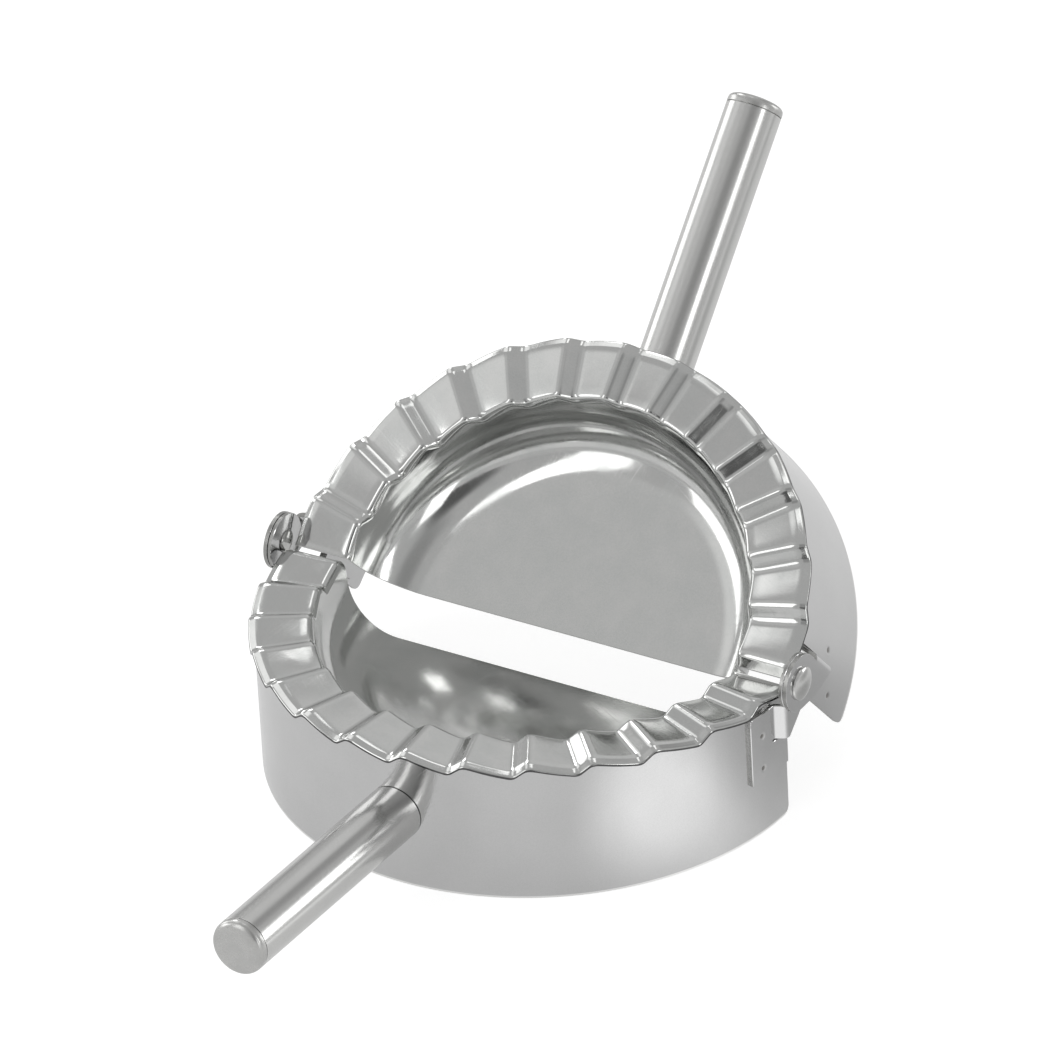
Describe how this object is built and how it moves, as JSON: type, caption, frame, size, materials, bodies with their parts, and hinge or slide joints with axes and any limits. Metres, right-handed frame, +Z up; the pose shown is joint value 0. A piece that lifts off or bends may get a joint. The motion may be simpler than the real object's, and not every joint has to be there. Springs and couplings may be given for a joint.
{
  "type": "ravioli mold",
  "caption": "Hinged stainless ravioli mold, 120 mm across: two half-round cutting skirts, pleated press plates with half bowls, tube handles and riveted side hinges.",
  "frame": {"origin": "centre of the base of the bounding box, on the table, in the half-open pose", "axes": "+X to the right along the hinge axis, -Y to the front handle, +Z up"},
  "size_m": [0.1312, 0.2269, 0.1094],
  "materials": {
    "satin_skirt": "satin stainless sheet with a fine grain round the skirt",
    "polished_plate": "polished pressed stainless sheet",
    "bracket_sheet": "satin stainless sheet with sheared edges",
    "satin_tube": "fine satin stainless tube",
    "end_cap": "satin stainless cap with a turned face",
    "screw_steel": "plain stainless steel",
    "rivet_steel": "bright stainless rivet"
  },
  "bodies": {
    "front_half": {"front_skirt": "satin_skirt", "front_press_plate": "polished_plate", "front_right_hinge_bracket": "bracket_sheet", "front_left_hinge_bracket": "bracket_sheet", "front_handle_tube": "satin_tube", "front_handle_end_cap": "end_cap", "front_handle_insert": "screw_steel", "front_handle_saddle": "screw_steel", "front_handle_screw": "screw_steel"},
    "rear_half": {"rear_skirt": "satin_skirt", "rear_press_plate": "polished_plate", "rear_right_hinge_bracket": "bracket_sheet", "rear_left_hinge_bracket": "bracket_sheet", "rear_handle_tube": "satin_tube", "rear_handle_end_cap": "end_cap", "rear_handle_insert": "screw_steel", "rear_handle_saddle": "screw_steel", "rear_handle_screw": "screw_steel", "rear_right_hinge_rivet": "rivet_steel", "rear_left_hinge_rivet": "rivet_steel"}
  },
  "joints": [
    {"name": "hinge", "type": "hinge", "parent": "front_half", "child": "rear_half", "pos_m": [0, 0.00971, 0.033], "axis": [1, 0, 0], "range_deg": [-41.7, 138.3]}
  ]
}
